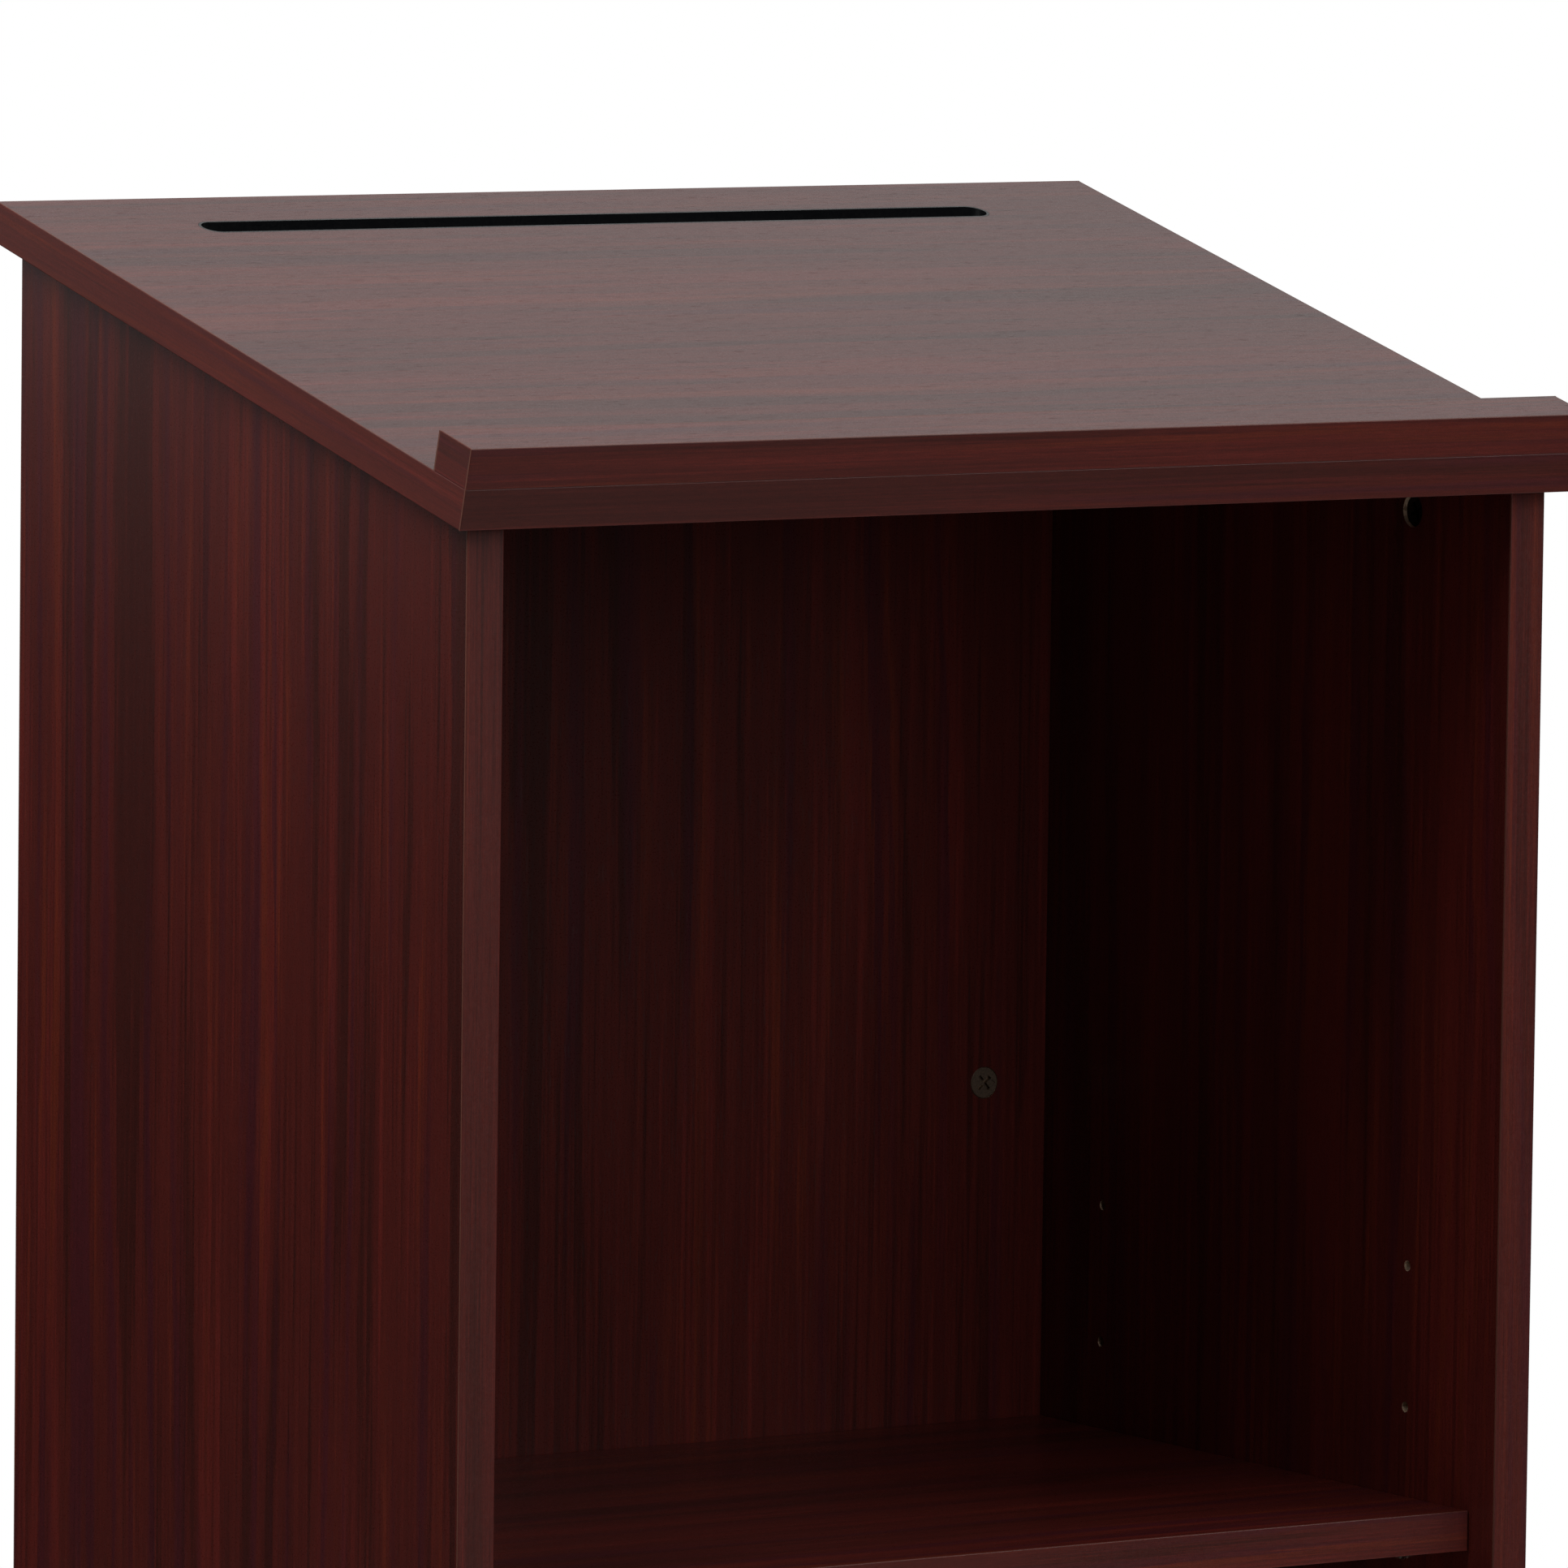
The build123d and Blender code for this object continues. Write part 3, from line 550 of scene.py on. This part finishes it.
def solids_of(node):
    """Vertex arrays of a CAD node's separate solids.

    Each vertex takes the lowest number among those that it is joined to.
    """
    mesh = frame["nodes"][node].data
    points = np.empty(len(mesh.vertices) * 3)
    mesh.vertices.foreach_get("co", points)
    points = points.reshape(-1, 3)
    mesh.calc_loop_triangles()
    faces = np.empty(len(mesh.loop_triangles) * 3, dtype=np.int64)
    mesh.loop_triangles.foreach_get("vertices", faces)
    keys, merged = np.unique(np.round(points / MERGE).astype(np.int64), axis=0, return_inverse=True)
    label = np.arange(len(keys))
    corners = merged.reshape(-1)[faces].reshape(-1, 3)
    while True:
        lowest = label[corners].min(axis=1)
        before = label.copy()
        for column in range(3):
            np.minimum.at(label, corners[:, column], lowest)
        label = label[label]
        if np.array_equal(before, label):
            break
    owner = label[merged.reshape(-1)]
    return [points[owner == name] for name in np.unique(owner)]


def board_centre(node, facing):
    """A point on a board's middle plane."""
    reach = np.vstack(solids_of(node)) @ np.array(facing)
    return facing * float((reach.min() + reach.max()) / 2)


def axis_place(points, direction):
    """Matrix that stands a part made along +Z on the near end of a solid that is round about a direction."""
    forward = np.array(direction)
    side = np.array(direction.orthogonal().normalized())
    other = np.cross(forward, side)
    near = (points @ forward).min()
    middles = [((points @ way).min() + (points @ way).max()) / 2 for way in (side, other)]
    matrix = np.eye(4)
    matrix[:3, 0], matrix[:3, 1], matrix[:3, 2] = side, other, forward
    matrix[:3, 3] = near * forward + middles[0] * side + middles[1] * other
    return matrix


def fastener_places(node):
    """A fastener node's solids, the way each points from its board's face, and the matrix that stands it so.

    Those in the side panels' tops point down from the desk top. The others point across, to the middle.
    """
    solids = solids_of(node)
    if node.startswith("side_panel"):
        ways = [-DESK_OUT for _ in solids]
    else:
        ways = [ACROSS if points[:, 0].mean() < 0 else -ACROSS for points in solids]
    return solids, ways, [axis_place(points, way) for points, way in zip(solids, ways)]


def copies(name, vertices, faces, matrices, material, body, node):
    """One object of several copies of a part, riding on a body in place of a CAD node."""
    homogeneous = np.hstack([vertices, np.ones((len(vertices), 1))])
    points = np.vstack([(homogeneous @ matrix.T)[:, :3] for matrix in matrices])
    triangles = np.vstack([faces + number * len(vertices) for number in range(len(matrices))])
    mesh = bpy.data.meshes.new(name)
    mesh.from_pydata(points.tolist(), [], triangles.tolist())
    mesh.materials.append(material)
    mesh.polygons.foreach_set("use_smooth", np.ones(len(mesh.polygons), dtype=bool))
    mesh.set_sharp_from_angle(angle=SHARP_ANGLE)
    mesh.update()
    made = bpy.data.objects.new(name, mesh)
    bpy.context.scene.collection.objects.link(made)
    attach(made, body)
    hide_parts(node)


# ---- Operators ----


class LECTERN_OT_boards(bpy.types.Operator):
    """Laminate the boards, each with its own stretch of the print"""

    bl_idname = "lectern.boards"
    bl_label = "Boards"

    def execute(self, context):
        look = context.scene.lectern_print
        for number, (node, (grain, facing)) in enumerate(BOARDS.items()):
            sloping = facing is DESK_OUT
            tone, calm = (look.warm_tone, look.desk_calm) if sloping else (look.middle, look.board_calm)
            centre, seed = board_centre(node, facing), BOARD_SEED_STEP * number
            dress(node, laminate(f"melamine_{node}", grain, facing, centre, seed, tone, calm))
        return {"FINISHED"}


class LECTERN_OT_edge_bands(bpy.types.Operator):
    """Print the edge bands"""

    bl_idname = "lectern.edge_bands"
    bl_label = "Edge bands"

    def execute(self, context):
        for number, (node, (grain, facing)) in enumerate(BANDS.items()):
            seed = BAND_SEED + BAND_SEED_STEP * number
            dress(node, edge_band(f"edgeband_{node}", grain, facing, middle(node), seed))
        return {"FINISHED"}


class LECTERN_OT_pen_groove(bpy.types.Operator):
    """Black liner of the pen groove"""

    bl_idname = "lectern.pen_groove"
    bl_label = "Pen groove liner"

    def execute(self, context):
        colour = context.scene.lectern_finish.liner
        # Moulded ABS: black, half-gloss, with a faint mould texture.
        abs_plastic = speckled("moulded_abs", colour, (0.28, 0.4), 1.2 * MM, 0.02 * MM, IOR=1.53)
        dress("pen_groove_liner", abs_plastic)
        return {"FINISHED"}


class LECTERN_OT_cam_locks(bpy.types.Operator):
    """Die-cast cam locks"""

    bl_idname = "lectern.cam_locks"
    bl_label = "Cam locks"

    def execute(self, context):
        finish = context.scene.lectern_finish
        # Zinc alloy as cast: a dull grey metal with a soft, uneven skin.
        zinc = speckled("diecast_zinc", finish.zinc, (0.45, 0.62), 0.8 * MM, 0.05 * MM, 0.6, Metallic=1.0)
        # The same casting in a near-black copy with a duller shine: painted shade for the side panels' cams,
        # standing in for the shadow they lie in.
        colour = finish.painted_shade_zinc
        dark = speckled("zinc_painted_shade", colour, (0.5, 0.65), 0.8 * MM, 0.05 * MM, 0.6, Metallic=1.0)
        # The side panels' cams get the painted-shade copy of the zinc; the other cams get the plain zinc.
        for node in CAM_NODES:
            dress(node, dark if node == "side_panel_cams" else zinc)
        return {"FINISHED"}


class LECTERN_OT_cam_bolts(bpy.types.Operator):
    """Cam bolts with a wood thread, a plain shank, a neck and a head"""

    bl_idname = "lectern.cam_bolts"
    bl_label = "Cam bolts"

    def execute(self, context):
        colour, sizes = context.scene.lectern_finish.steel, context.scene.lectern_fasteners
        # Zinc-plated steel: bright grey with a slight haze.
        steel = speckled("zinc_plated_steel", colour, (0.28, 0.42), 2 * MM, 0.01 * MM, Metallic=1.0)
        for node in BOLT_NODES:
            solids, _, matrices = fastener_places(node)
            vertices, faces = self.bolt(solids[0], matrices[0], sizes)
            copies(f"threaded_{node}", vertices, faces, matrices, steel, CARCASS, node)
        return {"FINISHED"}

    def bolt(self, points, matrix, sizes):
        """Thread the profile of the CAD bolt: its radius is read at each height of the solid."""
        local = (np.hstack([points, np.ones((len(points), 1))]) @ np.linalg.inv(matrix).T)[:, :3]
        radius = np.hypot(local[:, 0], local[:, 1])
        heights = np.unique(np.round(local[:, 2] / MERGE)) * MERGE
        profile = []
        for height in heights:
            here = radius[np.abs(local[:, 2] - height) < SAME_HEIGHT]
            inner, outer = here.min(), here.max()
            steps = [outer] if outer - inner < SAME_RADIUS else [inner, outer]
            if profile and len(steps) == 2 and abs(profile[-1][0] - outer) < abs(profile[-1][0] - inner):
                steps.reverse()
            profile += [(max(value, LEAST_RADIUS), height) for value in steps]
        thread_top = local[radius > SHANK_SHARE * radius.max(), 2].min()
        return threaded(profile, sizes.thread_pitch, sizes.thread_depth, 0.0, thread_top)


class LECTERN_OT_dowels(bpy.types.Operator):
    """Fluted beech dowels"""

    bl_idname = "lectern.dowels"
    bl_label = "Dowels"

    def execute(self, context):
        colour, sizes = context.scene.lectern_finish.beech, context.scene.lectern_fasteners
        # Beech: pale, with short fine flecks, dry and unfinished.
        beech = speckled("beech", colour, (0.62, 0.75), 1.5 * MM, 0.05 * MM, 0.85)
        for node in DOWEL_NODES:
            solids, ways, matrices = fastener_places(node)
            reach = solids[0] @ np.array(ways[0])
            side = solids[0] @ np.array(ways[0].orthogonal().normalized())
            radius, length = (side.max() - side.min()) / 2, reach.max() - reach.min()
            vertices, faces = fluted(radius, length, radius * DOWEL_CHAMFER, sizes.flutes, sizes.flute_depth)
            copies(f"fluted_{node}", vertices, faces, matrices, beech, CARCASS, node)
        return {"FINISHED"}


class LECTERN_OT_fixings(bpy.types.Operator):
    """Screws of the book stop, shelf pins, glides and their nails"""

    bl_idname = "lectern.fixings"
    bl_label = "Screws, shelf pins and glides"

    def execute(self, context):
        finish = context.scene.lectern_finish
        # Yellow-passivated steel: warm metal with a mottled tint.
        colour = finish.brass
        brass = speckled("passivated_steel", colour, (0.3, 0.45), 1.5 * MM, 0.01 * MM, 0.8, Metallic=1.0)
        dress("book_stop_screws", brass)
        # Nickel-plated pressed steel: bright, warm white metal with faint press marks.
        colour = finish.nickel
        nickel = speckled("nickel_plated_steel", colour, (0.22, 0.36), 3 * MM, 0.02 * MM, 0.85, Metallic=1.0)
        for node in PIN_NODES:
            dress(node, nickel)
        # Moulded nylon: near black, waxy, scuffed dull underneath.
        nylon = speckled("moulded_nylon", finish.nylon, (0.42, 0.6), 0.7 * MM, 0.05 * MM, 0.7, IOR=1.53)
        for node in GLIDE_NODES:
            dress(node, nylon)
        # Drawn steel: bright grey, as it leaves the die.
        steel = speckled("bright_steel", finish.steel, (0.3, 0.5), 1 * MM, 0.02 * MM, 0.8, Metallic=1.0)
        dress("glide_nails", steel)
        return {"FINISHED"}


class LECTERN_OT_stage(bpy.types.Operator):
    """Floor, lights, surroundings and camera"""

    bl_idname = "lectern.stage"
    bl_label = "Stage"

    def execute(self, context):
        stage = context.scene.lectern_stage
        self.floor(context)
        self.surroundings(context, stage)
        for settings in LIGHTS:
            self.light(context, *settings)
        self.camera(context, stage)
        context.scene.view_settings.view_transform = "Standard"
        return {"FINISHED"}

    def floor(self, context):
        """A plain pale disc that fades into the backdrop towards its rim."""
        turn = full_turn(FLOOR_SIDES)
        mesh = bpy.data.meshes.new("floor")
        mesh.from_pydata(ring_points(FLOOR_RADIUS, 0, turn).tolist(), [], [list(range(FLOOR_SIDES))])
        colour = context.scene.lectern_finish.floor
        # Matt floor paint: pale, even, with hardly any sheen.
        paint = speckled("matt_floor_paint", colour, (0.75, 0.85), 3 * MM, 0.05 * MM, 0.98)
        tree = paint.node_tree
        place = add_node(tree, "TexCoord", output="Object")
        radius = add_node(tree, "VectorMath", place, output="Value", operation="LENGTH")
        fade = add_node(tree, "MapRange", radius, FLOOR_FADE, FLOOR_RADIUS, 1.0, 0.0)
        tree.links.new(fade, tree.nodes["Principled BSDF"].inputs["Alpha"])
        mesh.materials.append(paint)
        made = bpy.data.objects.new("floor", mesh)
        context.scene.collection.objects.link(made)

    def surroundings(self, context, stage):
        """White where it is looked at; as a source of light, a dim grey."""
        world = bpy.data.worlds.new("studio")
        world.use_nodes = True
        context.scene.world = world
        tree = world.node_tree
        seen = add_node(tree, "LightPath", output="Is Camera Ray")
        level = add_node(tree, "MapRange", seen, 0.0, 1.0, stage.ambient, 1.0)
        tree.links.new(level, tree.nodes["Background"].inputs["Strength"])
        tree.nodes["Background"].inputs["Color"].default_value = (1, 1, 1, 1)

    def light(self, context, name, azimuth, elevation, distance, size, power):
        """A soft square light that faces the lectern's upper half."""
        data = bpy.data.lights.new(name, "AREA")
        data.shape, data.size, data.energy = "SQUARE", size, power
        made = bpy.data.objects.new(name, data)
        context.scene.collection.objects.link(made)
        back = orbit(math.radians(azimuth), math.radians(elevation))
        made.location = Vector((0, 0, CAD_HIGH[2] * LIGHT_AIM)) + back * distance
        made.rotation_euler = (-back).to_track_quat("-Z", "Y").to_euler()
        made.visible_camera = False

    def camera(self, context, stage):
        """A long lens that looks at the upper half from the open side."""
        data = bpy.data.cameras.new("camera")
        data.lens, data.sensor_width = stage.lens, 36
        data.clip_start, data.clip_end = 0.1, 100
        made = bpy.data.objects.new("camera", data)
        context.scene.collection.objects.link(made)
        target = Vector((stage.aim_right, 0, CAD_HIGH[2] - stage.aim_drop))
        back = orbit(stage.azimuth, stage.elevation)
        turn = (-back).to_track_quat("-Z", "Y").to_matrix() @ Matrix.Rotation(stage.roll, 3, "Z")
        made.matrix_world = Matrix.LocRotScale(target + back * stage.distance, turn, None)
        context.scene.camera = made


PROPERTY_GROUPS = {
    "lectern_print": LecternPrint,
    "lectern_finish": LecternFinish,
    "lectern_fasteners": LecternFasteners,
    "lectern_stage": LecternStage,
}
OPERATORS = (
    LECTERN_OT_stage,
    LECTERN_OT_boards,
    LECTERN_OT_edge_bands,
    LECTERN_OT_pen_groove,
    LECTERN_OT_cam_locks,
    LECTERN_OT_cam_bolts,
    LECTERN_OT_dowels,
    LECTERN_OT_fixings,
)


class LECTERN_PT_panel(bpy.types.Panel):
    """Buttons for the lectern's pieces"""

    bl_idname = "LECTERN_PT_panel"
    bl_label = "Lectern"
    bl_space_type = "VIEW_3D"
    bl_region_type = "UI"
    bl_category = "Lectern"

    def draw(self, context):
        for operator in OPERATORS:
            self.layout.operator(operator.bl_idname)


def register():
    for name, group in PROPERTY_GROUPS.items():
        bpy.utils.register_class(group)
        setattr(bpy.types.Scene, name, PointerProperty(type=group))
    for made in (*OPERATORS, LECTERN_PT_panel):
        bpy.utils.register_class(made)


def unregister():
    for made in (LECTERN_PT_panel, *reversed(OPERATORS)):
        bpy.utils.unregister_class(made)
    for name, group in PROPERTY_GROUPS.items():
        delattr(bpy.types.Scene, name)
        bpy.utils.unregister_class(group)


def main():
    register()
    for operator in OPERATORS:
        group, name = operator.bl_idname.split(".")
        getattr(getattr(bpy.ops, group), name)()


if __name__ == "__main__":
    main()
